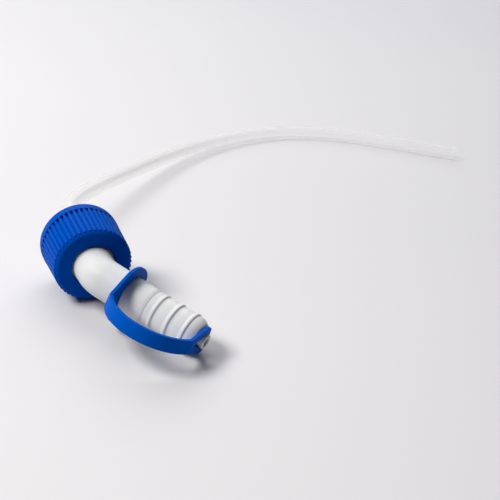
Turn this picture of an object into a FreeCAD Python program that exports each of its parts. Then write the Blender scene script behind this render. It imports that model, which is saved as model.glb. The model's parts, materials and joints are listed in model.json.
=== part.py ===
import FreeCAD, Part
import math
import os
import Sketcher

# Gear oil pump: a press pump head for a 28 mm bottle neck, with its spout, nozzle, clip and dip tube.
#
# Row frame, millimetres: +Y is the pump axis, from the spout side to the bottle side, +Z is up.
# The head lies on its side. The screw cap's band and the nozzle's last collar touch z = 0.
# Depths along the pump are counted from the cap's outer face towards the bottle.
# Places along the nozzle are counted from the spout's corner, where its two axes cross.

SIZES = {
    # where the head lies
    "axis_x": -8.462, "face_y": 10.61, "axis_height": 16.0, "spout_roll": 18.47,
    # screw cap
    "cap_face_radius": 14.2, "cap_front_radius": 14.75, "cap_back_radius": 15.35,
    "cap_bevel": 0.9, "cap_wall_top": 1.8, "cap_hole_radius": 8.5, "cap_bore_radius": 13.9,
    "band_radius": 16.0, "band_start": 18.3, "cap_height": 22.3, "band_round": 0.5,
    "rib_count": 48, "rib_width": 1.15, "rib_top_front": 15.3, "rib_top_back": 15.9, "rib_root": 14.3,
    "rib_start": 1.2,
    "thread_pitch": 4.23, "thread_crest": 12.9, "thread_root": 14.1, "thread_flank": 0.85,
    "thread_tip": 0.4, "thread_start": 8.0, "thread_length": 6.4,
    # barrel, its rings and its valve
    "flange_top": 2.1, "flange_bottom": 3.6, "flange_radius": 13.2,
    "barrel_bore": 9.2, "barrel_radius": 10.3, "floor_top": 24.5, "floor_bottom": 26.0,
    "seat_mouth": 3.1, "inlet_radius": 1.6, "socket_stop": 27.5, "socket_end": 32.0,
    "socket_radius": 5.2, "vent_radius": 0.7, "vent_depth": 8.0,
    "gasket_bottom": 4.6, "gasket_bore": 10.4,
    "guide_bore": 7.98, "guide_bottom": 3.4, "wiper_bore": 7.97, "wiper_bottom": 4.4,
    "cage_top": 18.9, "cage_roof": 20.1, "cage_flange_top": 23.5, "cage_flange_radius": 9.1,
    "cage_radius": 4.4, "cage_bore": 3.2, "cage_hole": 1.4, "window_top": 20.6, "window_width": 2.4,
    "inlet_ball_radius": 2.4, "inlet_ball_depth": 24.135,
    # plunger, its seals and its valve
    "stem_top": 3.0, "stem_radius": 5.85, "stem_bore": 4.2, "ring_groove_top": 5.0,
    "ring_groove_bottom": 6.1, "ring_groove_radius": 4.8, "collar_top": 9.3, "collar_radius": 8.8,
    "seal_top": 10.2, "seal_root": 7.6, "seal_bottom": 12.6, "plunger_lip": 8.1, "plunger_bottom": 13.2,
    "outlet_radius": 1.5, "outlet_seat_radius": 3.0, "outlet_seat_top": 9.0, "outlet_seat_bottom": 10.5,
    "seal_heel": 8.9, "seal_lip": 9.15, "seal_lip_inner": 8.8, "seal_notch": 8.4, "seal_notch_top": 11.3,
    "seal_inner_lip": 8.0,
    "outlet_cage_top": 3.6, "outlet_cage_bottom": 5.2, "outlet_cage_hole": 1.2,
    "port_radius": 0.7, "port_circle": 2.8, "outlet_ball_radius": 2.2, "outlet_ball_depth": 8.82,
    "stem_ring_radius": 5.35, "ring_thickness": 0.5, "stem_ring_depth": 5.55,
    "spring_radius": 6.0, "spring_wire": 0.4, "spring_turns": 5.5,
    # spout elbow
    "corner_reach": 7.3, "bend_angle": 40.0, "bend_radius": 10.0, "elbow_radius": 7.6,
    "sleeve_radius": 7.92, "sleeve_bottom": 9.0, "stop_top": 4.6, "stop_bottom": 6.1, "stop_radius": 8.95,
    "sleeve_bore": 5.9, "sleeve_shoulder": 2.7, "elbow_bore": 5.4, "sleeve_taper": 0.76,
    "neck_end": 24.9, "neck_radius": 7.3, "counterbore_radius": 6.0, "counterbore_start": 18.7,
    # nozzle, its ring and its drip valve
    "spigot_start": 18.9, "spigot_radius": 5.95, "nozzle_bore": 4.2, "nozzle_groove_start": 21.4,
    "nozzle_groove_end": 22.6, "nozzle_groove_radius": 5.0, "nozzle_ring_radius": 5.5,
    "nozzle_ring_place": 22.0, "nozzle_ring_thickness": 0.48,
    "first_collar": 28.7, "first_lip": 7.3, "second_collar": 35.4, "second_root": 7.0, "second_lip": 7.5,
    "third_collar": 42.2, "third_root": 7.1, "third_lip": 7.55, "nose_root": 7.15, "nose_start": 44.0,
    "nose_radius": 6.95, "nose_turn": 46.2, "nose_turn_radius": 6.0, "shoulder_place": 46.8,
    "shoulder_radius": 5.2, "nipple_radius": 2.9, "nipple_end": 49.4, "outlet_bore": 1.7,
    "tip_cone_start": 44.2, "tip_cone_end": 46.2, "lip_round": 0.25,
    "retainer_start": 37.5, "retainer_bore": 2.8, "valve_start": 40.2, "valve_flange_end": 41.4,
    "valve_flange_radius": 4.15, "valve_root": 2.6, "valve_end": 44.6, "valve_tip": 1.2,
    "valve_bore": 1.6, "valve_bore_end": 43.6, "valve_slit": 0.2,
    # clip
    "clip_thickness": 1.5, "clip_width": 5.7, "fork_place": 13.3, "fork_bore": 7.54, "fork_radius": 11.6,
    "fork_shift": 1.2, "fork_mouth": 32.0, "fork_shoulder": 119.4, "clip_turn": 1.3,
    "tip_fork_place": 47.0, "tip_fork_bore": 2.98, "tip_fork_radius": 5.5, "tip_fork_shoulder": 105.0,
    "claw_mouth": 27.0, "claw_back": 75.0, "claw_bulge": 0.13,
    "notch_start": 130.0, "notch_reach": 8.1, "notch_end_radius": 0.9,
    "bow_centre_x": 5.8, "bow_centre_place": 30.2, "bow_radius": 18.3,
    # dip tube
    "tube_radius": 3.65, "tube_bore": 2.65,
}

# Dip tube route, measured from the pump axis at the cap's outer face: across, depth, and height.
# It leaves the barrel's socket level, sinks to the surface and ends bare.
TUBE_ROUTE = [
    (0.0, 27.5, 16.0),
    (0.0, 43.9, 16.0),
    (6.5, 59.6, 15.6),
    (24.5, 77.8, 13.6),
    (50.0, 102.4, 9.6),
    (80.0, 127.9, 5.8),
    (114.0, 146.4, 3.9),
    (150.0, 153.9, 3.68),
    (182.0, 145.9, 3.68),
    (212.0, 128.9, 3.68),
    (240.3, 110.1, 3.68),
]

CORD_NODES = ("dip_tube",)

doc = FreeCAD.newDocument("gear_oil_pump")
sheet = doc.addObject("Spreadsheet::Sheet", "Sizes")
for row, (alias, number) in enumerate(SIZES.items(), start=1):
    sheet.set(f"A{row}", alias)
    sheet.set(f"B{row}", str(number))
    sheet.setAlias(f"B{row}", alias)
doc.recompute()


# ---------------------------------------------------------------- sizes and frames

def amount(formula):
    """The number that a sum of aliases, such as "stem_top + stem_bore", stands for."""
    total = 0.0
    sign = 1
    for word in formula.split():
        if word in ("+", "-"):
            sign = 1 if word == "+" else -1
        elif word != "0":
            total += sign * sheet.get(word)
    return total


def bound(formula):
    """The same sum as an expression on the sheet's cells."""
    words = formula.split()
    return " ".join(word if word in ("+", "-") else "Sizes." + word for word in words)


def turned(axis, degrees):
    return FreeCAD.Rotation(FreeCAD.Vector(*axis), degrees)


def pump_frame():
    """Local z runs along the pump axis, from the cap's outer face into the bottle."""
    base = FreeCAD.Vector(amount("axis_x"), amount("face_y"), amount("axis_height"))
    return FreeCAD.Placement(base, turned((1, 0, 0), -90))


def spout_frame():
    """Origin at the spout's corner, local z out of the cap, local x towards the nozzle's side."""
    base = FreeCAD.Vector(amount("axis_x"), amount("face_y - corner_reach"), amount("axis_height"))
    turn = turned((1, 0, 0), 90).multiply(turned((0, 0, 1), -amount("spout_roll")))
    return FreeCAD.Placement(base, turn)


def nozzle_frame():
    """Origin at the spout's corner, local z along the nozzle, local -x on the clip's strap side."""
    bend = FreeCAD.Placement(FreeCAD.Vector(), turned((0, 1, 0), amount("bend_angle")))
    return spout_frame().multiply(bend)


# ---------------------------------------------------------------- drawing helpers

def new_body(name, frame):
    body = doc.addObject("PartDesign::Body", name)
    body.Label = name
    body.Placement = frame
    return body


def sketch_on(body, role, name, lift=None):
    """A sketch on one of the body's own origin planes, raised by a sum of aliases."""
    sketch = body.newObject("Sketcher::SketchObject", name)
    plane = next(feature for feature in body.Origin.OriginFeatures if feature.Role == role)
    sketch.AttachmentSupport = [(plane, "")]
    sketch.MapMode = "FlatFace"
    if lift:
        sketch.setExpression("AttachmentOffset.Base.z", bound(lift))
        doc.recompute()
    return sketch


def dimension(sketch, kind, formula, *ends):
    """Hold a distance or a radius at a sum of aliases."""
    index = sketch.addConstraint(Sketcher.Constraint(kind, *ends, amount(formula)))
    sketch.setExpression(f"Constraints[{index}]", bound(formula))


def pin_point(sketch, edge, end, formulas):
    """Hold one end of an edge at two sums of aliases from the sketch's origin."""
    for kind, axis, formula in (("DistanceX", -2, formulas[0]), ("DistanceY", -1, formulas[1])):
        if formula == "0":
            sketch.addConstraint(Sketcher.Constraint("PointOnObject", edge, end, axis))
        else:
            dimension(sketch, kind, formula, -1, 1, edge, end)


def polygon(sketch, corners):
    """A closed outline of straight edges through corners given as pairs of sums of aliases."""
    points = [FreeCAD.Vector(amount(across), amount(along), 0) for across, along in corners]
    first = sketch.GeometryCount
    count = len(points)
    for index in range(count):
        sketch.addGeometry(Part.LineSegment(points[index], points[(index + 1) % count]), False)
    for index in range(count):
        following = first + (index + 1) % count
        sketch.addConstraint(Sketcher.Constraint("Coincident", first + index, 2, following, 1))
        pin_point(sketch, first + index, 1, corners[index])


def circle(sketch, centre, radius):
    """A circle whose centre and radius are sums of aliases."""
    middle = FreeCAD.Vector(amount(centre[0]), amount(centre[1]), 0)
    edge = sketch.addGeometry(Part.Circle(middle, FreeCAD.Vector(0, 0, 1), amount(radius)), False)
    pin_point(sketch, edge, 3, centre)
    dimension(sketch, "Radius", radius, edge)


def rectangle(sketch, left, right, bottom, top):
    """Four joined edges: 0 along the bottom, 1 on the right, 2 along the top, 3 on the left."""
    corners = [(left, bottom), (right, bottom), (right, top), (left, top)]
    points = [FreeCAD.Vector(across, along, 0) for across, along in corners]
    for index in range(4):
        sketch.addGeometry(Part.LineSegment(points[index], points[(index + 1) % 4]), False)
    for index in range(4):
        sketch.addConstraint(Sketcher.Constraint("Coincident", index, 2, (index + 1) % 4, 1))
    for index, kind in ((2, "Horizontal"), (1, "Vertical")):
        sketch.addConstraint(Sketcher.Constraint(kind, index))


def revolved(name, frame, corners):
    """A turned piece: corners are (radius, place along the axis)."""
    body = new_body(name, frame)
    sketch = sketch_on(body, "XZ_Plane", name + "_outline")
    polygon(sketch, corners)
    turn = body.newObject("PartDesign::Revolution", name + "_turn")
    turn.Profile = sketch
    turn.ReferenceAxis = (sketch, ["V_Axis"])
    turn.Angle = 360
    sketch.Visibility = False
    doc.recompute()
    return body


def pattern(body, feature, count, name):
    """Repeat one feature evenly round the body's z axis."""
    axis = next(part for part in body.Origin.OriginFeatures if part.Role == "Z_Axis")
    ring = body.newObject("PartDesign::PolarPattern", name)
    ring.Originals = [feature]
    ring.Axis = (axis, [""])
    ring.Angle = 360
    ring.Occurrences = count
    body.Tip = ring
    doc.recompute()
    return ring


def pocketed(body, sketch, name, midplane=False, reverse=False, depth=None):
    """Cut a sketch through the body, and make sure that it takes some away."""
    before = body.Shape.Volume
    pocket = body.newObject("PartDesign::Pocket", name)
    pocket.Profile = sketch
    pocket.Type = 0 if depth else 1
    if depth:
        pocket.setExpression("Length", bound(depth))
    if midplane:
        pocket.SideType = "Symmetric"
    pocket.Reversed = reverse
    doc.recompute()
    if body.Shape.Volume >= before - 1e-6:
        raise ValueError(f"{name} cuts nothing")
    return pocket


def part_object(kind, name, **formulas):
    """A Part primitive with its sizes bound to sums of aliases."""
    primitive = doc.addObject(kind, name)
    for size_name, formula in formulas.items():
        primitive.setExpression(size_name, bound(formula))
    doc.recompute()
    return primitive


def swept(path, radius):
    """A round rod along a path."""
    start = path.Edges[0]
    section = Part.Wire(Part.makeCircle(radius, start.valueAt(start.FirstParameter),
                                        start.tangentAt(start.FirstParameter)))
    return path.makePipeShell([section], True, False)


# ---------------------------------------------------------------- screw cap

def make_screw_cap():
    body = revolved("screw_cap", pump_frame(), [
        ("cap_hole_radius", "0"),
        ("cap_face_radius", "0"),
        ("cap_front_radius", "cap_bevel"),
        ("cap_back_radius", "band_start"),
        ("band_radius", "band_start"),
        ("band_radius", "cap_height"),
        ("cap_bore_radius", "cap_height"),
        ("cap_bore_radius", "cap_wall_top"),
        ("cap_hole_radius", "cap_wall_top"),
    ])
    round_band(body)
    add_ribs(body)
    add_thread(body)
    return body


def round_band(body):
    """Round the band's two outer edges."""
    radius = amount("band_radius")
    places = (amount("band_start"), amount("cap_height"))
    edges = []
    for number, edge in enumerate(body.Tip.Shape.Edges, start=1):
        curve = edge.Curve
        if isinstance(curve, Part.Circle) and abs(curve.Radius - radius) < 1e-4:
            if min(abs(curve.Center.z - place) for place in places) < 1e-4:
                edges.append(f"Edge{number}")
    turned_shape = body.Tip
    fillet = body.newObject("PartDesign::Fillet", "band_rounding")
    fillet.Base = (turned_shape, edges)
    fillet.setExpression("Radius", bound("band_round"))
    body.Tip = fillet
    doc.recompute()


def add_ribs(body):
    """Grip ribs from just behind the face to the band, a little prouder at the band."""
    sections = []
    half = amount("rib_width") / 2
    ends = (("rib_front", "rib_start", "rib_top_front"), ("rib_back", "band_start", "rib_top_back"))
    for name, place, top in ends:
        sketch = sketch_on(body, "XY_Plane", name, lift=place)
        rectangle(sketch, amount("rib_root"), amount(top), -half, half)
        sketch.addConstraint(Sketcher.Constraint("Horizontal", 0))
        sketch.addConstraint(Sketcher.Constraint("Symmetric", 0, 1, 2, 2, -1))
        dimension(sketch, "DistanceX", "rib_root", -1, 1, 0, 1)
        dimension(sketch, "DistanceX", top, -1, 1, 0, 2)
        dimension(sketch, "DistanceY", "rib_width", 1, 1, 1, 2)
        sections.append(sketch)
    doc.recompute()
    rib = body.newObject("PartDesign::AdditiveLoft", "rib")
    rib.Profile = sections[0]
    rib.Sections = [sections[1]]
    rib.Ruled = True
    doc.recompute()
    pattern(body, rib, int(amount("rib_count")), "ribs")


def add_thread(body):
    """The bottle thread: one ridge that winds inside the bore."""
    sketch = sketch_on(body, "XZ_Plane", "thread_section")
    flank = "thread_flank"
    tip = "thread_tip"
    polygon(sketch, [
        ("thread_root", f"thread_start - {flank}"),
        ("thread_root", f"thread_start + {flank}"),
        ("thread_crest", f"thread_start + {tip}"),
        ("thread_crest", f"thread_start - {tip}"),
    ])
    ridge = body.newObject("PartDesign::AdditiveHelix", "thread")
    ridge.Profile = sketch
    ridge.ReferenceAxis = (sketch, ["V_Axis"])
    ridge.Mode = 0
    ridge.setExpression("Pitch", bound("thread_pitch"))
    ridge.setExpression("Height", bound("thread_length"))
    body.Tip = ridge
    doc.recompute()


# ---------------------------------------------------------------- barrel

def make_pump_barrel():
    body = revolved("pump_barrel", pump_frame(), [
        ("barrel_bore", "flange_top"),
        ("flange_radius", "flange_top"),
        ("flange_radius", "flange_bottom"),
        ("barrel_radius", "flange_bottom"),
        ("barrel_radius", "floor_bottom"),
        ("socket_radius", "floor_bottom"),
        ("socket_radius", "socket_end"),
        ("tube_radius", "socket_end"),
        ("tube_radius", "socket_stop"),
        ("inlet_radius", "socket_stop"),
        ("inlet_radius", "floor_bottom"),
        ("seat_mouth", "floor_top"),
        ("barrel_bore", "floor_top"),
    ])
    sketch = sketch_on(body, "YZ_Plane", "vent_outline")
    circle(sketch, ("0", "vent_depth"), "vent_radius")
    pocketed(body, sketch, "vent", reverse=True)
    return body


def make_barrel_rings():
    gasket = [("gasket_bore", "flange_bottom"), ("flange_radius", "flange_bottom"),
              ("flange_radius", "gasket_bottom"), ("gasket_bore", "gasket_bottom")]
    guide = [("guide_bore", "flange_top"), ("barrel_bore", "flange_top"),
             ("barrel_bore", "guide_bottom"), ("guide_bore", "guide_bottom")]
    wiper = [("wiper_bore", "guide_bottom"), ("barrel_bore", "guide_bottom"),
             ("barrel_bore", "wiper_bottom"), ("wiper_bore", "wiper_bottom")]
    outlines = {"bottle_gasket": gasket, "guide_ring": guide, "wiper_seal": wiper}
    return [revolved(name, pump_frame(), outline) for name, outline in outlines.items()]


def make_inlet_cage():
    """The foot valve's cage, which is the spring's seat too. Windows let the oil past the ball."""
    body = revolved("inlet_cage", pump_frame(), [
        ("cage_bore", "floor_top"),
        ("cage_flange_radius", "floor_top"),
        ("cage_flange_radius", "cage_flange_top"),
        ("cage_radius", "cage_flange_top"),
        ("cage_radius", "cage_top"),
        ("cage_hole", "cage_top"),
        ("cage_hole", "cage_roof"),
        ("cage_bore", "cage_roof"),
    ])
    sketch = sketch_on(body, "XZ_Plane", "window_outline")
    half = amount("window_width") / 2
    rectangle(sketch, -half, half, amount("window_top"), amount("cage_flange_top"))
    sketch.addConstraint(Sketcher.Constraint("Vertical", 3))
    sketch.addConstraint(Sketcher.Constraint("Symmetric", 0, 1, 0, 2, -2))
    dimension(sketch, "DistanceY", "window_top", -1, 1, 0, 1)
    dimension(sketch, "DistanceY", "cage_flange_top", -1, 1, 2, 1)
    dimension(sketch, "DistanceX", "window_width", 0, 1, 0, 2)
    windows = pocketed(body, sketch, "windows", midplane=True)
    pattern(body, windows, 4, "window_ring")
    return body


# ---------------------------------------------------------------- plunger

def make_plunger():
    return revolved("plunger", pump_frame(), [
        ("stem_bore", "stem_top"),
        ("stem_radius", "stem_top"),
        ("stem_radius", "ring_groove_top"),
        ("ring_groove_radius", "ring_groove_top"),
        ("ring_groove_radius", "ring_groove_bottom"),
        ("stem_radius", "ring_groove_bottom"),
        ("stem_radius", "collar_top"),
        ("collar_radius", "collar_top"),
        ("collar_radius", "seal_top"),
        ("seal_root", "seal_top"),
        ("seal_root", "seal_bottom"),
        ("plunger_lip", "seal_bottom"),
        ("plunger_lip", "plunger_bottom"),
        ("outlet_radius", "plunger_bottom"),
        ("outlet_radius", "outlet_seat_bottom"),
        ("outlet_seat_radius", "outlet_seat_top"),
        ("stem_bore", "outlet_seat_top"),
    ])


def make_piston_seal():
    """A cup seal: the outer lip wipes the barrel, the notch lets it spread."""
    return revolved("piston_seal", pump_frame(), [
        ("seal_root", "seal_top"),
        ("seal_heel", "seal_top"),
        ("seal_lip", "seal_bottom"),
        ("seal_lip_inner", "seal_bottom"),
        ("seal_notch", "seal_notch_top"),
        ("seal_inner_lip", "seal_bottom"),
        ("seal_root", "seal_bottom"),
    ])


def make_outlet_cage():
    body = revolved("outlet_cage", pump_frame(), [
        ("outlet_cage_hole", "outlet_cage_top"),
        ("stem_bore", "outlet_cage_top"),
        ("stem_bore", "outlet_cage_bottom"),
        ("outlet_cage_hole", "outlet_cage_bottom"),
    ])
    sketch = sketch_on(body, "XY_Plane", "port_outline")
    circle(sketch, ("port_circle", "0"), "port_radius")
    port = pocketed(body, sketch, "port", reverse=True)
    pattern(body, port, 5, "ports")
    return body


def make_ball(name, radius, depth):
    ball = part_object("Part::Sphere", name, Radius=radius)
    ball.Label = name
    shift = FreeCAD.Placement(FreeCAD.Vector(0, 0, amount(depth)), FreeCAD.Rotation())
    ball.Placement = pump_frame().multiply(shift)
    return ball


def make_ring(name, frame, radius, thickness, place):
    ring = part_object("Part::Torus", name, Radius1=radius, Radius2=thickness)
    ring.Label = name
    shift = FreeCAD.Placement(FreeCAD.Vector(0, 0, amount(place)), FreeCAD.Rotation())
    ring.Placement = frame.multiply(shift)
    return ring


def make_return_spring():
    """Round wire wound from the plunger's underside to the foot valve's flange.

    Each half turn is a half ring whose plane leans the other way from the last one's, so that the
    wire runs level, and so tangent, wherever two of them meet.
    """
    wire = amount("spring_wire")
    radius = amount("spring_radius")
    start = amount("plunger_bottom") + wire
    half_turns = int(2 * amount("spring_turns"))
    rise = (amount("cage_flange_top") - wire - start) / half_turns
    reach = math.hypot(radius, rise / 2)
    edges = []
    for index in range(half_turns):
        side = 1 if index % 2 == 0 else -1
        low = start + index * rise
        first = FreeCAD.Vector(side * radius, 0, low)
        middle = FreeCAD.Vector(0, side * reach, low + rise / 2)
        last = FreeCAD.Vector(-side * radius, 0, low + rise)
        edges.append(Part.Arc(first, middle, last).toShape())
    spring = doc.addObject("Part::Feature", "return_spring")
    spring.Label = "return_spring"
    spring.Shape = swept(Part.Wire(edges), wire)
    spring.Placement = pump_frame()
    return spring


# ---------------------------------------------------------------- spout elbow

def bend_piece(name, radius):
    """The part of a ring that turns the pipe from the pump axis to the nozzle's axis."""
    tangent = amount("bend_radius") * math.tan(math.radians(amount("bend_angle") / 2))
    bend = part_object("Part::Torus", name, Radius1="bend_radius", Radius2=radius, Angle3="bend_angle")
    turn = FreeCAD.Rotation(FreeCAD.Vector(-1, 0, 0), FreeCAD.Vector(0, 0, 1), FreeCAD.Vector(0, 1, 0), "ZXY")
    bend.Placement = FreeCAD.Placement(FreeCAD.Vector(amount("bend_radius"), 0, -tangent), turn)
    return bend


def straight_piece(name, base, tilt, radius, radius_end, length):
    """A cylinder or cone from a point on the pump axis or on the nozzle's axis."""
    piece = doc.addObject("Part::Cone" if radius != radius_end else "Part::Cylinder", name)
    if radius != radius_end:
        piece.setExpression("Radius1", bound(radius))
        piece.setExpression("Radius2", bound(radius_end))
    else:
        piece.setExpression("Radius", bound(radius))
    piece.Height = length
    turn = turned((0, 1, 0), tilt)
    piece.Placement = FreeCAD.Placement(turn.multVec(FreeCAD.Vector(0, 0, base)), turn)
    return piece


def fused(name, pieces):
    fuse = doc.addObject("Part::MultiFuse", name)
    fuse.Shapes = pieces
    doc.recompute()
    return fuse


def make_spout_elbow():
    """Sleeve, stop flange, bend and neck, bored through for the oil, the stem and the nozzle's spigot."""
    bend = amount("bend_angle")
    tangent = amount("bend_radius") * math.tan(math.radians(bend / 2))
    corner = amount("corner_reach")
    low = -corner - amount("sleeve_bottom")
    neck = amount("neck_end")
    taper = amount("sleeve_taper")
    outside = fused("elbow_outside", [
        straight_piece("sleeve", low, 0, "sleeve_radius", "sleeve_radius", -tangent - taper - low),
        straight_piece("sleeve_end", -tangent - taper, 0, "sleeve_radius", "elbow_radius", taper),
        straight_piece("stop_flange", -corner - amount("stop_bottom"), 0, "stop_radius", "stop_radius",
                       amount("stop_bottom - stop_top")),
        bend_piece("bend_outside", "elbow_radius"),
        straight_piece("neck", tangent, bend, "elbow_radius", "neck_radius", neck - tangent),
    ])
    shoulder = -corner - amount("sleeve_shoulder")
    overrun = 1.0
    counterbore = amount("counterbore_start")
    inside = fused("elbow_inside", [
        straight_piece("stem_socket", low - overrun, 0, "sleeve_bore", "sleeve_bore",
                       shoulder - low + overrun),
        straight_piece("sleeve_bore_run", shoulder - overrun, 0, "elbow_bore", "elbow_bore",
                       -tangent - shoulder + overrun),
        bend_piece("bend_bore", "elbow_bore"),
        straight_piece("neck_bore", tangent, bend, "elbow_bore", "elbow_bore", neck - tangent),
        straight_piece("spigot_socket", counterbore, bend, "counterbore_radius", "counterbore_radius",
                       neck - counterbore + overrun),
    ])
    elbow = doc.addObject("Part::Cut", "spout_elbow")
    elbow.Base = outside
    elbow.Tool = inside
    elbow.Label = "spout_elbow"
    elbow.Placement = spout_frame()
    doc.recompute()
    return elbow


# ---------------------------------------------------------------- nozzle

def make_nozzle():
    """Three rounded collars in a row, a blunt nose and the outlet nipple."""
    body = revolved("nozzle", nozzle_frame(), [
        ("nozzle_bore", "spigot_start"),
        ("spigot_radius", "spigot_start"),
        ("spigot_radius", "nozzle_groove_start"),
        ("nozzle_groove_radius", "nozzle_groove_start"),
        ("nozzle_groove_radius", "nozzle_groove_end"),
        ("spigot_radius", "nozzle_groove_end"),
        ("spigot_radius", "neck_end"),
        ("neck_radius", "neck_end"),
        ("first_lip", "first_collar"),
        ("second_root", "first_collar"),
        ("second_lip", "second_collar"),
        ("third_root", "second_collar"),
        ("third_lip", "third_collar"),
        ("nose_root", "third_collar"),
        ("nose_radius", "nose_start"),
        ("nose_turn_radius", "nose_turn"),
        ("shoulder_radius", "shoulder_place"),
        ("nipple_radius", "shoulder_place"),
        ("nipple_radius", "nipple_end"),
        ("outlet_bore", "nipple_end"),
        ("outlet_bore", "tip_cone_end"),
        ("nozzle_bore", "tip_cone_start"),
    ])
    lips = [amount(name) for name in ("second_lip", "third_lip")]
    edges = []
    for number, edge in enumerate(body.Tip.Shape.Edges, start=1):
        curve = edge.Curve
        if isinstance(curve, Part.Circle) and min(abs(curve.Radius - lip) for lip in lips) < 1e-4:
            edges.append(f"Edge{number}")
    turned_shape = body.Tip
    fillet = body.newObject("PartDesign::Fillet", "lip_rounding")
    fillet.Base = (turned_shape, edges)
    fillet.setExpression("Radius", bound("lip_round"))
    body.Tip = fillet
    doc.recompute()
    return body


def make_valve_retainer():
    return revolved("valve_retainer", nozzle_frame(), [
        ("retainer_bore", "retainer_start"),
        ("nozzle_bore", "retainer_start"),
        ("nozzle_bore", "valve_start"),
        ("retainer_bore", "valve_start"),
    ])


def make_drip_valve():
    """A duckbill: a slit in its closed end opens under the pump's pressure and stops drips."""
    body = revolved("drip_valve", nozzle_frame(), [
        ("valve_bore", "valve_start"),
        ("valve_flange_radius", "valve_start"),
        ("valve_flange_radius", "valve_flange_end"),
        ("valve_root", "valve_flange_end"),
        ("valve_tip", "valve_end"),
        ("0", "valve_end"),
        ("0", "valve_bore_end"),
        ("valve_bore", "valve_bore_end"),
    ])
    sketch = sketch_on(body, "XY_Plane", "slit_outline", lift="valve_end")
    half_length = amount("valve_tip") - amount("valve_slit")
    half_width = amount("valve_slit") / 2
    rectangle(sketch, -half_length, half_length, -half_width, half_width)
    sketch.addConstraint(Sketcher.Constraint("Horizontal", 0))
    sketch.addConstraint(Sketcher.Constraint("Vertical", 3))
    sketch.addConstraint(Sketcher.Constraint("Symmetric", 0, 1, 2, 1, -1, 1))
    dimension(sketch, "DistanceX", "valve_tip - valve_slit", -1, 1, 0, 2)
    dimension(sketch, "DistanceY", "valve_slit", 1, 1, 1, 2)
    pocketed(body, sketch, "slit", depth="valve_end - valve_bore_end")
    return body


# ---------------------------------------------------------------- clip

def on_circle(centre, radius, degrees):
    angle = math.radians(degrees)
    return centre + FreeCAD.Vector(radius * math.cos(angle), radius * math.sin(angle), 0)


def arc(centre, radius, start, end):
    """A circular edge that runs anticlockwise between two directions, in degrees."""
    middle = (start + end) / 2
    points = [on_circle(centre, radius, degrees) for degrees in (start, middle, end)]
    return Part.Arc(*points).toShape()


def mirrored(point):
    return FreeCAD.Vector(point.x, -point.y, 0)


def plain_bore(bore, mouth):
    """A fork's round bore, from one side of its mouth to the other."""
    return [arc(FreeCAD.Vector(), bore, mouth, 360 - mouth)]


def notched_bore(bore, mouth):
    """A fork's bore that runs out into a narrowing notch towards the strap."""
    origin = FreeCAD.Vector()
    end = amount("notch_end_radius")
    reach = amount("notch_reach")
    leave = on_circle(origin, bore, amount("notch_start"))
    corner = FreeCAD.Vector(end - reach, end, 0)
    return [
        arc(origin, bore, mouth, amount("notch_start")),
        Part.LineSegment(leave, corner).toShape(),
        Part.Arc(corner, FreeCAD.Vector(-reach, 0, 0), mirrored(corner)).toShape(),
        Part.LineSegment(mirrored(corner), mirrored(leave)).toShape(),
        arc(origin, bore, 360 - amount("notch_start"), 360 - mouth),
    ]


def fork_outline(bore_edges, inner_tip, radius, shift, back, bulge, root, shoulder):
    """A plate open towards +x: two prongs from inner_tip round to the strap's upper edge at root."""
    centre = FreeCAD.Vector(-shift, 0, 0)
    outer_tip = on_circle(centre, radius, back)
    leave = on_circle(centre, radius, shoulder)
    span = outer_tip - inner_tip
    outward = FreeCAD.Vector(span.y, -span.x, 0).normalize()
    tip_end = (inner_tip + outer_tip) / 2 + outward * bulge * span.Length
    edges = bore_edges + [
        Part.Arc(inner_tip, tip_end, outer_tip).toShape(),
        arc(centre, radius, back, shoulder),
        Part.LineSegment(leave, root).toShape(),
        Part.LineSegment(root, mirrored(root)).toShape(),
        Part.LineSegment(mirrored(root), mirrored(leave)).toShape(),
        arc(centre, radius, 360 - shoulder, 360 - back),
        Part.Arc(mirrored(outer_tip), mirrored(tip_end), mirrored(inner_tip)).toShape(),
    ]
    return Part.Wire(Part.sortEdges(edges)[0])


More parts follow.
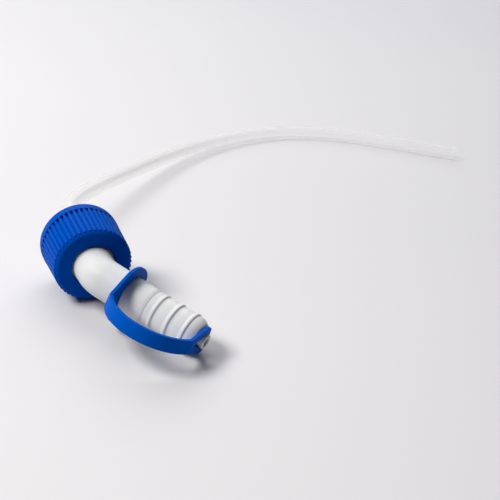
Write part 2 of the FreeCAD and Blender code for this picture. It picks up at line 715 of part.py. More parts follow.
def make_nozzle_clip():
    """A bow spring clip: one fork snaps round the elbow's neck, the other round the outlet nipple."""
    thick = amount("clip_thickness")
    half_width = amount("clip_width") / 2
    bow_centre = FreeCAD.Vector(-amount("bow_centre_x"), 0, amount("bow_centre_place"))
    bow = amount("bow_radius")
    middles = [amount("fork_place") + thick / 2, amount("tip_fork_place") + thick / 2]
    angles = [math.asin((place - bow_centre.z) / bow) for place in middles]
    roots = [-bow_centre.x + bow * math.cos(angle) for angle in angles]

    origin = FreeCAD.Vector()
    strap_edges = [FreeCAD.Vector(-root, half_width, 0) for root in roots]
    mouth, claw = amount("fork_mouth"), amount("claw_mouth")
    neck_bore, tip_bore = amount("fork_bore"), amount("tip_fork_bore")
    neck_fork = fork_outline(plain_bore(neck_bore, mouth), on_circle(origin, neck_bore, mouth),
                             amount("fork_radius"), amount("fork_shift"), mouth, 0.5,
                             strap_edges[0], amount("fork_shoulder"))
    tip_fork = fork_outline(notched_bore(tip_bore, claw), on_circle(origin, tip_bore, claw),
                            amount("tip_fork_radius"), 0, amount("claw_back"), amount("claw_bulge"),
                            strap_edges[1], amount("tip_fork_shoulder"))
    plates = []
    for outline, place in ((neck_fork, "fork_place"), (tip_fork, "tip_fork_place")):
        plate = Part.Face(outline).extrude(FreeCAD.Vector(0, 0, thick))
        plate.translate(FreeCAD.Vector(0, 0, amount(place)))
        plates.append(plate)

    def bow_point(radius, angle):
        across = FreeCAD.Vector(-radius * math.cos(angle), 0, radius * math.sin(angle))
        return bow_centre + across

    outer, inner = bow + thick / 2, bow - thick / 2
    middle = (angles[0] + angles[1]) / 2
    edges = [
        Part.Arc(*[bow_point(outer, angle) for angle in (angles[0], middle, angles[1])]).toShape(),
        Part.LineSegment(bow_point(outer, angles[1]), bow_point(inner, angles[1])).toShape(),
        Part.Arc(*[bow_point(inner, angle) for angle in (angles[1], middle, angles[0])]).toShape(),
        Part.LineSegment(bow_point(inner, angles[0]), bow_point(outer, angles[0])).toShape(),
    ]
    strap = Part.Face(Part.Wire(edges)).extrude(FreeCAD.Vector(0, 2 * half_width, 0))
    strap.translate(FreeCAD.Vector(0, -half_width, 0))
    along_y = FreeCAD.Vector(0, 1, 0)
    round_ends = []
    for root, place in zip(roots, middles):
        base = FreeCAD.Vector(-root, -half_width, place)
        round_ends.append(Part.makeCylinder(thick / 2, 2 * half_width, base, along_y))
    clip = doc.addObject("Part::Feature", "nozzle_clip")
    clip.Label = "nozzle_clip"
    clip.Shape = strap.multiFuse(plates + round_ends).removeSplitter()
    swing = turned((0, 0, 1), -amount("clip_turn"))
    clip.Placement = nozzle_frame().multiply(FreeCAD.Placement(FreeCAD.Vector(), swing))
    return clip


# ---------------------------------------------------------------- dip tube

def tube_path():
    """Straight runs joined by tangent arcs, each as large as its two runs allow."""
    points = [FreeCAD.Vector(amount("axis_x") + across, amount("face_y") + depth, height)
              for across, depth, height in TUBE_ROUTE]
    share = 0.45
    edges = []
    radii = []
    start = points[0]
    for before, corner, after in zip(points, points[1:], points[2:]):
        back = (before - corner).normalize()
        ahead = (after - corner).normalize()
        half_turn = (math.pi - back.getAngle(ahead)) / 2
        reach = share * min((before - corner).Length, (after - corner).Length)
        radius = reach / math.tan(half_turn)
        enter = corner + back * reach
        leave = corner + ahead * reach
        inward = (back + ahead).normalize()
        middle = corner + inward * (math.hypot(radius, reach) - radius)
        edges.append(Part.LineSegment(start, enter).toShape())
        edges.append(Part.Arc(enter, middle, leave).toShape())
        radii.append(radius)
        start = leave
    edges.append(Part.LineSegment(start, points[-1]).toShape())
    print("dip tube: bend radii", " ".join(f"{radius:.0f}" for radius in radii),
          f"last straight {(points[-1] - start).Length:.3f}")
    return Part.Wire(edges)


def make_dip_tube():
    path = tube_path()
    outside = swept(path, amount("tube_radius"))
    inside = swept(path, amount("tube_bore"))
    tube = doc.addObject("Part::Feature", "dip_tube")
    tube.Label = "dip_tube"
    tube.Shape = outside.cut(inside)
    wall = math.pi * (amount("tube_radius") ** 2 - amount("tube_bore") ** 2)
    ratio = tube.Shape.Volume / (wall * path.Length)
    print(f"dip tube: length {path.Length:.1f}, volume over section x length {ratio:.4f}")
    if abs(ratio - 1) > 0.005:
        raise ValueError("the dip tube's sweep went wrong")
    return tube


# ---------------------------------------------------------------- the whole pump

parts = [
    make_screw_cap(),
    make_pump_barrel(),
    *make_barrel_rings(),
    make_inlet_cage(),
    make_ball("inlet_ball", "inlet_ball_radius", "inlet_ball_depth"),
    make_return_spring(),
    make_plunger(),
    make_piston_seal(),
    make_ring("stem_o_ring", pump_frame(), "stem_ring_radius", "ring_thickness", "stem_ring_depth"),
    make_outlet_cage(),
    make_ball("outlet_ball", "outlet_ball_radius", "outlet_ball_depth"),
    make_spout_elbow(),
    make_nozzle(),
    make_ring("nozzle_o_ring", nozzle_frame(), "nozzle_ring_radius", "nozzle_ring_thickness",
              "nozzle_ring_place"),
    make_valve_retainer(),
    make_drip_valve(),
    make_nozzle_clip(),
    make_dip_tube(),
]
doc.recompute()

failed = [item.Name for item in doc.Objects if "Invalid" in item.State or "Error" in item.State]
if failed:
    raise ValueError(f"these objects failed: {failed}")

os.makedirs("parts", exist_ok=True)
box = FreeCAD.BoundBox()
for part in parts:
    shape = part.Shape
    if shape.isNull() or not shape.isValid() or len(shape.Solids) != 1:
        raise ValueError(f"{part.Label} is not one valid solid")
    if part.Label not in CORD_NODES:
        box.add(shape.optimalBoundingBox(False, False))
    shape.exportStep(f"parts/{part.Label}.step")
    print(f"{part.Label}: {shape.Volume:.1f} mm3")
print(f"without the dip tube: x {box.XMin:.3f} to {box.XMax:.3f}, y {box.YMin:.3f} to {box.YMax:.3f}, "
      f"z {box.ZMin:.3f} to {box.ZMax:.3f}")
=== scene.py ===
import json
import math

import bpy
import numpy as np
from mathutils import Matrix, Vector


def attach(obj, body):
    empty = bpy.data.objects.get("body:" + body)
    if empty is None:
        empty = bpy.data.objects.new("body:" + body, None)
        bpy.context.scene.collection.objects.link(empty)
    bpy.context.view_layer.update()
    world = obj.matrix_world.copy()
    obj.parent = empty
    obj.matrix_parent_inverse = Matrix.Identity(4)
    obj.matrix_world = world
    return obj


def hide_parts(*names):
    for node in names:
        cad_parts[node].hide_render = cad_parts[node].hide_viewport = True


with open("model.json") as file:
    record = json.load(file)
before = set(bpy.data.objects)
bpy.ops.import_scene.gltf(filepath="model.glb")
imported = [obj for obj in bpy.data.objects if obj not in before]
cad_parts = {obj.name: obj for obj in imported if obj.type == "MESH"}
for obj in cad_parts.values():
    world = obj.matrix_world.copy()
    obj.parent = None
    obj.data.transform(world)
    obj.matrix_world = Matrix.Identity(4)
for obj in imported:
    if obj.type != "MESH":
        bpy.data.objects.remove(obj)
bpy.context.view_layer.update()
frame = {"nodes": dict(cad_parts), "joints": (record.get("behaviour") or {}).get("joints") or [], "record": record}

# Gear oil pump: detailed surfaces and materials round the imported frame. Metres, +Z up.
# Outlines are written in millimetres, as (radius, place along the axis, rounding of the corner).
# Places on the pump count from the cap's outer face, and on the nozzle from the spout's corner.

MM = 0.001


# ---------------------------------------------------------------- where things are

JOINTS = {joint["name"]: joint for joint in frame["joints"]}
CAP_FACE = Vector(JOINTS["cap_turn"]["pos_m"])
INWARD = Vector((0, 1, 0))
OUTWARD = Vector((0, -1, 0))
CORNER_REACH = 7.3 * MM
CORNER = CAP_FACE + OUTWARD * CORNER_REACH
NOZZLE_AXIS = Vector(JOINTS["clip_swivel"]["axis"]).normalized()
BEND_ANGLE = math.acos(-NOZZLE_AXIS.y)
BEND_RADIUS = 10 * MM
BEND_REACH = BEND_RADIUS * math.tan(BEND_ANGLE / 2)
NECK_END = 24.9 * MM


def axes_matrix(origin, across, up, along):
    """A frame whose x, y and z axes are the three given directions."""
    matrix = Matrix((across, up, along)).transposed().to_4x4()
    matrix.translation = origin
    return matrix


SIDEWAYS = Vector((NOZZLE_AXIS.x, 0, NOZZLE_AXIS.z)).normalized()
UPWARD = OUTWARD.cross(SIDEWAYS)
PUMP = axes_matrix(CAP_FACE, Vector((1, 0, 0)), Vector((0, 0, -1)), INWARD)
NOZZLE = axes_matrix(CORNER, UPWARD.cross(NOZZLE_AXIS), UPWARD, NOZZLE_AXIS)


# ---------------------------------------------------------------- camera

AZIMUTH = math.radians(-26.2)
ELEVATION = math.radians(27.4)
ROLL = math.radians(7.45)
DISTANCE = 0.4222
LOOK_AT = Vector((0.0623, 0.0223, 0.010))
LENS = 72
SENSOR_WIDTH = 36


def add_camera():
    level_reach = math.cos(ELEVATION)
    back = Vector((math.sin(AZIMUTH) * level_reach, -math.cos(AZIMUTH) * level_reach, math.sin(ELEVATION)))
    data = bpy.data.cameras.new("camera")
    data.lens = LENS
    data.sensor_width = SENSOR_WIDTH
    data.clip_start = 0.01
    camera = bpy.data.objects.new("camera", data)
    level = back.to_track_quat("Z", "Y").to_matrix()
    turn = level @ Matrix.Rotation(ROLL, 3, "Z")
    camera.matrix_world = Matrix.Translation(LOOK_AT + back * DISTANCE) @ turn.to_4x4()
    bpy.context.collection.objects.link(camera)
    bpy.context.scene.camera = camera


# ---------------------------------------------------------------- mesh helpers

SHARP_ANGLE = math.radians(40)


def add_mesh(name, vertices, faces):
    mesh = bpy.data.meshes.new(name)
    mesh.from_pydata([tuple(vertex) for vertex in vertices], [], faces)
    mesh.validate()
    mesh.update()
    piece = bpy.data.objects.new(name, mesh)
    bpy.context.collection.objects.link(piece)
    mesh.shade_smooth()
    mesh.set_sharp_from_angle(angle=SHARP_ANGLE)
    return piece


def wrapped_faces(rows, columns):
    """Quads of a grid that closes on itself both ways, as on a ring."""
    faces = []
    for row in range(rows):
        below = (row + 1) % rows
        for column in range(columns):
            beside = (column + 1) % columns
            faces.append((row * columns + column, row * columns + beside, below * columns + beside,
                          below * columns + column))
    return faces


def placed(points, matrix):
    """Local points as points of the row frame."""
    array = np.asarray(points, float)
    turn = np.array(matrix.to_3x3())
    return array @ turn.T + np.array(matrix.translation)


def rounded(corners, steps=5):
    """An outline with its corners rounded."""
    count = len(corners)
    outline = []
    for index, (radius, place, rounding) in enumerate(corners):
        corner = np.array((radius, place))
        if not rounding:
            outline.append(corner)
            continue
        before = np.array(corners[index - 1][:2]) - corner
        after = np.array(corners[(index + 1) % count][:2]) - corner
        reach = min(rounding, 0.48 * np.linalg.norm(before), 0.48 * np.linalg.norm(after))
        start = corner + before / np.linalg.norm(before) * reach
        end = corner + after / np.linalg.norm(after) * reach
        for share in np.linspace(0, 1, steps):
            rest = 1 - share
            outline.append(rest ** 2 * start + 2 * share * rest * corner + share ** 2 * end)
    return np.array(outline)


def divided(outline, spacing):
    """The same closed outline with long edges divided, so that its surface can take detail."""
    points = []
    for index, point in enumerate(outline):
        following = outline[(index + 1) % len(outline)]
        pieces = max(1, int(np.linalg.norm(following - point) / spacing))
        for piece in range(pieces):
            points.append(point + (following - point) * piece / pieces)
    return np.array(points)


def turned_piece(name, outline, matrix, count=160, radius_at=None):
    """A turned piece from a closed outline in mm. radius_at(radius, place, angle) may add relief."""
    angles = np.linspace(0, 2 * math.pi, count, endpoint=False)
    radius = np.repeat(outline[:, :1], count, axis=1)
    place = np.repeat(outline[:, 1:], count, axis=1)
    angle = np.repeat(angles[None, :], len(outline), axis=0)
    if radius_at:
        radius = radius_at(radius, place, angle)
    points = np.stack((radius * np.cos(angle), radius * np.sin(angle), place), axis=-1)
    points = points.reshape(-1, 3) * MM
    return add_mesh(name, placed(points, matrix), wrapped_faces(len(outline), count))


# ---------------------------------------------------------------- materials

def node_material(name):
    material = bpy.data.materials.new(name)
    material.use_nodes = True
    tree = material.node_tree
    return material, tree.nodes, tree.links, tree.nodes["Principled BSDF"]


def add_texture(nodes, links, scale, detail=4.0, stretch=(1, 1, 1)):
    """Noise in the piece's own coordinates, in metres."""
    place = nodes.new("ShaderNodeTexCoord")
    mapping = nodes.new("ShaderNodeMapping")
    mapping.inputs["Scale"].default_value = stretch
    noise = nodes.new("ShaderNodeTexNoise")
    noise.inputs["Scale"].default_value = scale
    noise.inputs["Detail"].default_value = detail
    links.new(place.outputs["Object"], mapping.inputs["Vector"])
    links.new(mapping.outputs["Vector"], noise.inputs["Vector"])
    return noise


def add_ramp(nodes, links, source, stops):
    """A colour ramp with two stops."""
    ramp = nodes.new("ShaderNodeValToRGB")
    for element, (position, colour) in zip(ramp.color_ramp.elements, stops):
        element.position = position
        element.color = (*colour, 1)
    links.new(source, ramp.inputs["Fac"])
    return ramp


def add_range(nodes, links, source, low, high, start=0.0):
    """The source's values from start to 1, spread from low to high."""
    spread = nodes.new("ShaderNodeMapRange")
    spread.inputs["From Min"].default_value = start
    spread.inputs["To Min"].default_value = low
    spread.inputs["To Max"].default_value = high
    links.new(source, spread.inputs["Value"])
    return spread


def moulded_plastic(name, colour, shade, roughness, specular=0.2, gloss_tint=(1, 1, 1), through=0.0):
    """Moulded plastic: a faint cloudiness, a fine eroded grain, and roughness that varies a little."""
    material, nodes, links, shader = node_material(name)
    cloud = add_texture(nodes, links, 90)
    tint = add_ramp(nodes, links, cloud.outputs["Fac"], [(0.35, shade), (0.65, colour)])
    links.new(tint.outputs["Color"], shader.inputs["Base Color"])
    smudge = add_texture(nodes, links, 260)
    gloss = add_range(nodes, links, smudge.outputs["Fac"], roughness - 0.05, roughness + 0.07)
    links.new(gloss.outputs["Result"], shader.inputs["Roughness"])
    skin = add_texture(nodes, links, 4500, detail=2)
    bump = nodes.new("ShaderNodeBump")
    bump.inputs["Strength"].default_value = 0.2
    bump.inputs["Distance"].default_value = 0.00003
    links.new(skin.outputs["Fac"], bump.inputs["Height"])
    links.new(bump.outputs["Normal"], shader.inputs["Normal"])
    shader.inputs["IOR"].default_value = 1.49
    shader.inputs["Specular IOR Level"].default_value = specular
    shader.inputs["Specular Tint"].default_value = (*gloss_tint, 1)
    if through:
        shader.inputs["Subsurface Weight"].default_value = through
        shader.inputs["Subsurface Radius"].default_value = (1.0, 1.0, 1.0)
        shader.inputs["Subsurface Scale"].default_value = 0.0012
    return material


def clear_tubing():
    """Milky clear tubing: clear where one looks straight through a wall, warmer along its edges."""
    material, nodes, links, shader = node_material("milky_tube")
    edge = nodes.new("ShaderNodeLayerWeight")
    edge.inputs["Blend"].default_value = 0.45
    tint = add_ramp(nodes, links, edge.outputs["Facing"],
                    [(0.3, (1.0, 1.0, 0.99)), (0.9, (0.86, 0.83, 0.75))])
    links.new(tint.outputs["Color"], shader.inputs["Base Color"])
    cloud = add_texture(nodes, links, 120)
    density = add_range(nodes, links, edge.outputs["Facing"], 0.06, 0.30, start=0.2)
    links.new(density.outputs["Result"], shader.inputs["Alpha"])
    gloss = add_range(nodes, links, cloud.outputs["Fac"], 0.18, 0.34)
    links.new(gloss.outputs["Result"], shader.inputs["Roughness"])
    shader.inputs["IOR"].default_value = 1.5
    return material


def rubber(name, colour):
    material, nodes, links, shader = node_material(name)
    cloud = add_texture(nodes, links, 700)
    lighter = tuple(min(1, channel * 1.5 + 0.01) for channel in colour)
    tint = add_ramp(nodes, links, cloud.outputs["Fac"], [(0.35, colour), (0.75, lighter)])
    links.new(tint.outputs["Color"], shader.inputs["Base Color"])
    shader.inputs["Roughness"].default_value = 0.62
    return material


def steel(name, roughness, stretch):
    material, nodes, links, shader = node_material(name)
    lines = add_texture(nodes, links, 1500, stretch=stretch)
    tint = add_ramp(nodes, links, lines.outputs["Fac"],
                    [(0.3, (0.5, 0.5, 0.52)), (0.7, (0.68, 0.68, 0.7))])
    links.new(tint.outputs["Color"], shader.inputs["Base Color"])
    shader.inputs["Metallic"].default_value = 1.0
    shader.inputs["Roughness"].default_value = roughness
    return material


def floor_material():
    material, nodes, links, shader = node_material("pale_floor")
    cloud = add_texture(nodes, links, 3)
    tint = add_ramp(nodes, links, cloud.outputs["Fac"],
                    [(0.3, (0.68, 0.665, 0.665)), (0.7, (0.70, 0.685, 0.68))])
    links.new(tint.outputs["Color"], shader.inputs["Base Color"])
    shader.inputs["Roughness"].default_value = 0.6
    shader.inputs["Specular IOR Level"].default_value = 0.25
    return material


BLUE_GLOSS = (0.0, 0.45, 1.0)
MATERIALS = {
    "blue_plastic": moulded_plastic("blue_cap_plastic", (0.0, 0.074, 0.44), (0.0, 0.066, 0.40), 0.42,
                                    specular=0.02, gloss_tint=BLUE_GLOSS),
    "clip_plastic": moulded_plastic("blue_clip_plastic", (0.0, 0.092, 0.50), (0.0, 0.084, 0.46), 0.36,
                                    specular=0.02, gloss_tint=BLUE_GLOSS),
    "white_plastic": moulded_plastic("white_plastic", (0.73, 0.73, 0.72), (0.70, 0.70, 0.69), 0.45,
                                     through=0.25),
    "natural_plastic": moulded_plastic("natural_plastic", (0.76, 0.76, 0.72), (0.70, 0.70, 0.66), 0.38,
                                       through=0.3),
    "natural_seal": rubber("pale_seal_rubber", (0.62, 0.60, 0.54)),
    "black_rubber": rubber("black_rubber", (0.02, 0.02, 0.02)),
    "steel_ball": steel("ball_steel", 0.15, (1, 1, 1)),
    "spring_wire": steel("spring_steel", 0.3, (1, 4, 1)),
    "clear_tube": clear_tubing(),
}
NODE_SLOTS = {entry["node"]: entry["material_slot"] for entry in frame["record"]["subparts"]}


def finish_piece(piece, node, body):
    """A piece that stands for one CAD node: its material, its body and its slot."""
    slot = NODE_SLOTS[node]
    piece.data.materials.clear()
    piece.data.materials.append(MATERIALS[slot])
    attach(piece, body)
    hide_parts(node)
    return piece


# ---------------------------------------------------------------- dip tube

TUBE_RADIUS = 3.65 * MM
TUBE_BORE = 2.65 * MM

# The tube's route from the cap's face on the pump axis: across, depth, and height above the floor.
TUBE_ROUTE = [
    (0.0000, 0.0275, 0.0160),
    (0.0000, 0.0439, 0.0160),
    (0.0065, 0.0596, 0.0156),
    (0.0245, 0.0778, 0.0136),
    (0.0500, 0.1024, 0.0096),
    (0.0800, 0.1279, 0.0058),
    (0.1140, 0.1464, 0.0039),
    (0.1500, 0.1539, 0.00368),
    (0.1820, 0.1459, 0.00368),
    (0.2120, 0.1289, 0.00368),
    (0.2403, 0.1101, 0.00368),
]


def route_line():
    """Points along the smooth line that the route controls."""
    points = [(CAP_FACE.x + across, CAP_FACE.y + depth, height) for across, depth, height in TUBE_ROUTE]
    curve = bpy.data.curves.new("route", "CURVE")
    curve.dimensions = "3D"
    curve.resolution_u = 24
    spline = curve.splines.new("NURBS")
    spline.points.add(len(points) - 1)
    for point, place in zip(spline.points, points):
        point.co = (*place, 1)
    spline.order_u = 3
    spline.use_endpoint_u = True
    guide = bpy.data.objects.new("route", curve)
    line = bpy.data.meshes.new_from_object(guide)
    path = [vertex.co.copy() for vertex in line.vertices]
    bpy.data.objects.remove(guide)
    bpy.data.meshes.remove(line)
    return path


def frames_along(path):
    """A steady pair of side directions at each point of a path."""
    tangents = []
    for index in range(len(path)):
        before = path[max(index - 1, 0)]
        after = path[min(index + 1, len(path) - 1)]
        tangents.append((after - before).normalized())
    side = Vector((0, 0, 1)).cross(tangents[0]).normalized()
    pairs = []
    for tangent in tangents:
        side = (side - tangent * side.dot(tangent)).normalized()
        pairs.append((side, tangent.cross(side)))
    return pairs


def hollow_tube(name, path, outer, inner, count=48):
    """A tube with a bore and cleanly cut ends."""
    pairs = frames_along(path)
    order = [(index, outer) for index in range(len(path))]
    order += [(index, inner) for index in reversed(range(len(path)))]
    vertices = []
    for index, radius in order:
        side, up = pairs[index]
        for step in range(count):
            angle = 2 * math.pi * step / count
            across = side * (radius * math.cos(angle)) + up * (radius * math.sin(angle))
            vertices.append(path[index] + across)
    return add_mesh(name, vertices, wrapped_faces(len(order), count))


def make_dip_tube():
    path = route_line()
    tube = hollow_tube("dip_tube_skin", path, TUBE_RADIUS, TUBE_BORE)
    finish_piece(tube, "dip_tube", "barrel")


# ---------------------------------------------------------------- screw cap

RIB_COUNT = 48
RIB_START = 0.95
BAND_START = 18.3
BORE_RADIUS = 13.9
THREAD_PITCH = 4.23
THREAD_START = 8.0
THREAD_TURNS = 1.5
THREAD_HEIGHT = 1.0


def soft_step(value, low, high):
    share = np.clip((value - low) / (high - low), 0, 1)
    return share * share * (3 - 2 * share)


def cap_relief(radius, place, angle):
    """Ribs with a pit at each end of every groove outside, and the bottle thread inside."""
    side = (radius > 14.4) & (place > RIB_START - 0.02) & (place < BAND_START + 0.02)
    phase = np.cos(angle * RIB_COUNT)
    front_pit = np.exp(-((place - RIB_START) / 0.7) ** 2)
    back_pit = np.exp(-((place - BAND_START) / 1.3) ** 2)
    opened = 0.5 * front_pit + 0.75 * back_pit
    groove = soft_step(-phase, 0.1 - opened, 0.95 - 0.7 * opened)
    depth = 0.82 + 0.40 * front_pit + 0.7 * back_pit
    radius = np.where(side, radius - depth * groove, radius)

    bore = (np.abs(radius - BORE_RADIUS) < 0.05) & (place > 2.5)
    turns = (place - THREAD_START) / THREAD_PITCH - angle / (2 * math.pi)
    nearest = np.round(turns)
    offset = np.abs(turns - nearest) * THREAD_PITCH
    along = nearest + angle / (2 * math.pi)
    runout = soft_step(along, THREAD_TURNS - 0.06, THREAD_TURNS + 0.05)
    length = soft_step(along, -0.05, 0.06) * (1 - runout)
    ridge = 1 - soft_step(offset, 0.35, 0.95)
    return np.where(bore, radius - THREAD_HEIGHT * ridge * length, radius)


def make_cap():
    corners = [
        (8.5, 0.0, 0.5), (13.9, 0.0, 0.3), (14.75, 0.75, 0.12), (14.7, 0.92, 0.0), (15.25, 0.96, 0.12),
        (15.9, BAND_START, 0.0), (15.92, BAND_START + 0.05, 0.05), (16.0, BAND_START + 0.35, 0.25),
        (16.0, 22.3, 0.8), (BORE_RADIUS + 0.15, 22.3, 0.4), (BORE_RADIUS, 21.6, 0.2),
        (BORE_RADIUS, 1.8, 0.5), (8.5, 1.8, 0.3),
    ]
    outline = divided(rounded(corners), 0.22)
    cap = turned_piece("cap_shell", outline, PUMP, count=RIB_COUNT * 16, radius_at=cap_relief)
    finish_piece(cap, "screw_cap", "cap")


# ---------------------------------------------------------------- barrel

def make_barrel():
    corners = [
        (9.2, 2.1, 0.2), (13.2, 2.1, 0.3), (13.2, 3.6, 0.3), (10.3, 3.6, 0.0), (10.3, 26.0, 0.9),
        (5.6, 26.0, 0.5), (5.2, 26.6, 0.5), (5.2, 32.0, 0.5), (3.65, 32.0, 0.3), (3.65, 27.5, 0.0),
        (1.6, 27.5, 0.0), (1.6, 26.0, 0.0), (3.1, 24.5, 0.0), (9.2, 24.5, 0.2),
    ]
    barrel = turned_piece("barrel_shell", rounded(corners), PUMP)
    finish_piece(barrel, "pump_barrel", "barrel")


# ---------------------------------------------------------------- spout elbow

# (depth, radius) of the sleeve's outside, from its inner end to the start of the bend
SLEEVE = [
    (9.0, 7.7), (8.7, 7.92), (6.3, 7.92), (6.12, 7.92), (6.1, 8.75), (5.9, 8.95), (4.8, 8.95), (4.6, 8.75),
    (4.58, 7.92), (2.0, 7.92), (0.5, 7.92), (-0.3, 7.91), (-1.2, 7.86), (-2.2, 7.79), (-3.0, 7.73),
]
BEND_STEPS = 28
NECK_STEPS = 20
ELBOW_BORE = 5.4
SPIGOT_SOCKET = (6.0, 18.7)                   # radius, and where it starts along the neck
STEM_SOCKET = (5.9, 2.7)                      # radius, and the depth where it starts


def elbow_path():
    """Centre line and radii of the elbow, from the sleeve's inner end to the neck's end."""
    stations = [(CAP_FACE + INWARD * (depth * MM), OUTWARD, radius) for depth, radius in SLEEVE]
    centre = CORNER + INWARD * BEND_REACH + SIDEWAYS * BEND_RADIUS
    for step in range(BEND_STEPS + 1):
        share = step / BEND_STEPS
        angle = BEND_ANGLE * share
        outward = -SIDEWAYS * math.cos(angle) + OUTWARD * math.sin(angle)
        tangent = OUTWARD * math.cos(angle) + SIDEWAYS * math.sin(angle)
        stations.append((centre + outward * BEND_RADIUS, tangent, 7.68 - 0.1 * share))
    for step in range(1, NECK_STEPS - 1):
        share = step / NECK_STEPS
        reach = BEND_REACH + (NECK_END - BEND_REACH) * share
        stations.append((CORNER + NOZZLE_AXIS * reach, NOZZLE_AXIS, 7.58 - 0.28 * share))
    for reach, radius in ((NECK_END - 0.12 * MM, 7.3), (NECK_END, 7.22)):
        stations.append((CORNER + NOZZLE_AXIS * reach, NOZZLE_AXIS, radius))
    return stations


def elbow_bore(place):
    """The bore's radius at a place on the centre line."""
    depth = (place - CAP_FACE).y / MM
    along_neck = (place - CORNER).dot(NOZZLE_AXIS) / MM
    if along_neck > SPIGOT_SOCKET[1] and depth < 0:
        return SPIGOT_SOCKET[0]
    if depth > STEM_SOCKET[1]:
        return STEM_SOCKET[0]
    return ELBOW_BORE


def make_elbow(count=128):
    outer = elbow_path()
    inner = [(place, tangent, elbow_bore(place)) for place, tangent, _ in reversed(outer)]
    vertices = []
    for place, tangent, radius in outer + inner:
        side = UPWARD.cross(tangent)
        reach = radius * MM
        for step in range(count):
            angle = 2 * math.pi * step / count
            vertices.append(place + side * (reach * math.cos(angle)) + UPWARD * (reach * math.sin(angle)))
    elbow = add_mesh("elbow_shell", vertices, wrapped_faces(len(outer) * 2, count))
    finish_piece(elbow, "spout_elbow", "spout")


# ---------------------------------------------------------------- nozzle

def make_nozzle():
    """Three collars whose front lips stand proud, a blunt nose and the outlet nipple."""
    corners = [
        (4.2, 18.9, 0.2), (5.95, 18.9, 0.3), (5.95, 21.4, 0.1), (5.0, 21.4, 0.1), (5.0, 22.6, 0.1),
        (5.95, 22.6, 0.1), (5.95, 24.9, 0.0), (7.16, 24.9, 0.05), (7.24, 25.1, 0.15), (7.2, 26.6, 0.6),
        (7.22, 27.3, 0.4), (7.42, 27.9, 0.3), (7.42, 28.55, 0.3), (6.95, 29.05, 0.35), (6.95, 29.8, 0.4),
        (7.12, 31.6, 0.9), (7.16, 33.8, 0.6), (7.52, 34.6, 0.3), (7.52, 35.25, 0.3), (7.0, 35.75, 0.35),
        (7.0, 36.5, 0.4), (7.2, 38.4, 0.9), (7.2, 40.6, 0.6), (7.55, 41.4, 0.3), (7.55, 42.05, 0.3),
        (7.02, 42.55, 0.35), (7.0, 43.4, 0.6), (6.7, 44.9, 1.2), (5.95, 46.3, 0.9), (5.2, 46.8, 0.4),
        (2.9, 46.8, 0.3), (2.9, 49.4, 0.5), (1.7, 49.4, 0.3), (1.7, 46.2, 0.2), (4.2, 44.2, 0.3),
    ]
    nozzle = turned_piece("nozzle_shell", rounded(corners, steps=6), NOZZLE, count=144)
    finish_piece(nozzle, "nozzle", "spout")


# ---------------------------------------------------------------- clip

CLIP_THICKNESS = 1.5
CLIP_HALF_WIDTH = 2.85
CLIP_SWING = math.radians(-1.3)
BOW_CENTRE = (-5.8, 30.2)
BOW_RADIUS = 18.3
FORK_MIDDLE = 14.05
TIP_FORK_MIDDLE = 47.75
ROOT_SINK = 0.5                               # how far each fork's root runs into the strap
NECK_FORK = {"radius": 11.6, "shift": 1.2, "back": 32, "bulge": 0.5, "shoulder": 119.4}
TIP_FORK = {"radius": 5.5, "shift": 0, "back": 75, "bulge": 0.13, "shoulder": 105}


def plate(outline, middle):
    """A flat plate of the clip's thickness from a closed outline, in mm of the nozzle's frame."""
    count = len(outline)
    half = CLIP_THICKNESS / 2
    points = [(x, y, middle - half) for x, y in outline] + [(x, y, middle + half) for x, y in outline]
    faces = [tuple(reversed(range(count))), tuple(range(count, 2 * count))]
    for index in range(count):
        beside = (index + 1) % count
        faces.append((index, beside, count + beside, count + index))
    return points, faces


def arc_points(centre, radius, start, end, steps):
    points = []
    for angle in np.radians(np.linspace(start, end, steps)):
        points.append((centre[0] + radius * math.cos(angle), centre[1] + radius * math.sin(angle)))
    return points


def plain_bore(bore, mouth):
    """A fork's round bore, from the lower side of its mouth to the upper."""
    return arc_points((0, 0), bore, 360 - mouth, mouth, 60)


def notched_bore(bore, mouth, start, reach, end_radius):
    """A fork's bore that runs out into a narrowing notch towards the strap."""
    upper = arc_points((end_radius - reach, 0), end_radius, 180, 90, 8)
    upper += arc_points((0, 0), bore, start, mouth, 24)
    return [(x, -y) for x, y in reversed(upper)] + upper[1:]


def fork_outline(bore_line, radius, shift, back, bulge, shoulder, root):
    """A fork open towards +x: prongs that end between the bore and the rim, and a root at the strap."""
    inner_tip = np.array(bore_line[-1])
    rim = arc_points((-shift, 0), radius, back, shoulder, 36)
    span = np.array(rim[0]) - inner_tip
    outward = np.array((span[1], -span[0])) * bulge * 4
    upper = []
    for share in np.linspace(0, 1, 12):
        upper.append(tuple(inner_tip + span * share + outward * share * (1 - share)))
    upper += rim[1:] + [(-root, CLIP_HALF_WIDTH)]
    lower = [(x, -y) for x, y in reversed(upper)]
    return upper + lower + bore_line[1:-1]


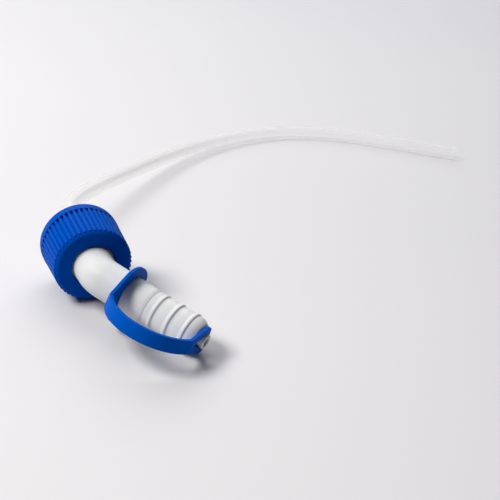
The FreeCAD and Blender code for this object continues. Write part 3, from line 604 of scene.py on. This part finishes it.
def bow_strap():
    """The bow between the forks, bent in the plane of the strap, and each root's distance out."""
    angles = []
    for place in (FORK_MIDDLE, TIP_FORK_MIDDLE):
        angles.append(math.asin((place - BOW_CENTRE[1]) / BOW_RADIUS))
    steps = 60
    outer = BOW_RADIUS + CLIP_THICKNESS / 2
    inner = BOW_RADIUS - CLIP_THICKNESS / 2
    section = [(outer, CLIP_HALF_WIDTH), (outer, -CLIP_HALF_WIDTH), (inner, -CLIP_HALF_WIDTH),
               (inner, CLIP_HALF_WIDTH)]
    points = []
    for step in range(steps + 1):
        angle = angles[0] + (angles[1] - angles[0]) * step / steps
        for radius, across in section:
            out = BOW_CENTRE[0] - radius * math.cos(angle)
            points.append((out, across, BOW_CENTRE[1] + radius * math.sin(angle)))
    faces = [(3, 2, 1, 0)]
    for step in range(steps):
        base = 4 * step
        for corner in range(4):
            beside = (corner + 1) % 4
            faces.append((base + corner, base + beside, base + 4 + beside, base + 4 + corner))
    last = 4 * steps
    faces.append((last, last + 1, last + 2, last + 3))
    roots = [BOW_RADIUS * math.cos(angle) - BOW_CENTRE[0] for angle in angles]
    return points, faces, roots


def make_clip():
    strap_points, strap_faces, roots = bow_strap()
    neck_bore = plain_bore(7.6, mouth=32)
    tip_bore = notched_bore(3.02, mouth=27, start=130, reach=8.1, end_radius=0.9)
    solids = [
        (strap_points, strap_faces),
        plate(fork_outline(neck_bore, root=roots[0] + ROOT_SINK, **NECK_FORK), FORK_MIDDLE),
        plate(fork_outline(tip_bore, root=roots[1] + ROOT_SINK, **TIP_FORK), TIP_FORK_MIDDLE),
    ]
    vertices = []
    faces = []
    for points, solid_faces in solids:
        base = len(vertices)
        vertices += points
        faces += [tuple(base + index for index in face) for face in solid_faces]
    clip = add_mesh("clip_bow", vertices, faces)
    melt(clip, voxel=0.14, rounds=5)
    clip.data.transform(NOZZLE @ Matrix.Rotation(CLIP_SWING, 4, "Z") @ Matrix.Scale(MM, 4))
    clip.data.update()
    finish_piece(clip, "nozzle_clip", "clip")


def melt(piece, voxel, rounds):
    """Join overlapping solids into one skin and soften its edges, as moulding does."""
    remesh = piece.modifiers.new("remesh", "REMESH")
    remesh.mode = "VOXEL"
    remesh.voxel_size = voxel
    smooth = piece.modifiers.new("smooth", "SMOOTH")
    smooth.factor = 0.5
    smooth.iterations = rounds
    depsgraph = bpy.context.evaluated_depsgraph_get()
    mesh = bpy.data.meshes.new_from_object(piece.evaluated_get(depsgraph))
    piece.modifiers.clear()
    piece.data = mesh
    mesh.shade_smooth()


# ---------------------------------------------------------------- CAD nodes that stay

def dress_cad_nodes():
    for node, piece in frame["nodes"].items():
        piece.data.materials.clear()
        piece.data.materials.append(MATERIALS[NODE_SLOTS[node]])


# ---------------------------------------------------------------- stage and light

FLOOR_REACH = 3.0
LIT_PLACE = Vector((0.03, 0.02, 0.0))


def add_floor():
    reach = FLOOR_REACH
    corners = [(-reach, -reach, 0), (reach, -reach, 0), (reach, reach, 0), (-reach, reach, 0)]
    floor = add_mesh("floor", corners, [(0, 1, 2, 3)])
    floor.data.materials.append(floor_material())


def add_light(name, place, size, power, colour):
    """A soft box that faces the pump."""
    data = bpy.data.lights.new(name, "AREA")
    data.shape = "RECTANGLE"
    data.size, data.size_y = size
    data.energy = power
    data.color = colour
    light = bpy.data.objects.new(name, data)
    direction = Vector(place) - LIT_PLACE
    turn = direction.to_track_quat("Z", "Y").to_matrix()
    light.matrix_world = Matrix.Translation(place) @ turn.to_4x4()
    bpy.context.collection.objects.link(light)


def add_lights():
    add_light("key", (-0.68, 0.15, 0.83), (0.45, 0.40), 11.8, (1.01, 1.0, 0.985))
    add_light("back", (0.30, 1.20, 1.15), (2.2, 1.6), 25.0, (0.97, 0.98, 1.03))
    world = bpy.data.worlds.new("soft_room")
    world.use_nodes = True
    background = world.node_tree.nodes["Background"]
    background.inputs["Color"].default_value = (0.85, 0.92, 1.15, 1)
    background.inputs["Strength"].default_value = 0.06
    bpy.context.scene.world = world
    bpy.context.scene.view_settings.view_transform = "Standard"


add_camera()
make_dip_tube()
dress_cad_nodes()
make_cap()
make_barrel()
make_elbow()
make_nozzle()
make_clip()
add_floor()
add_lights()
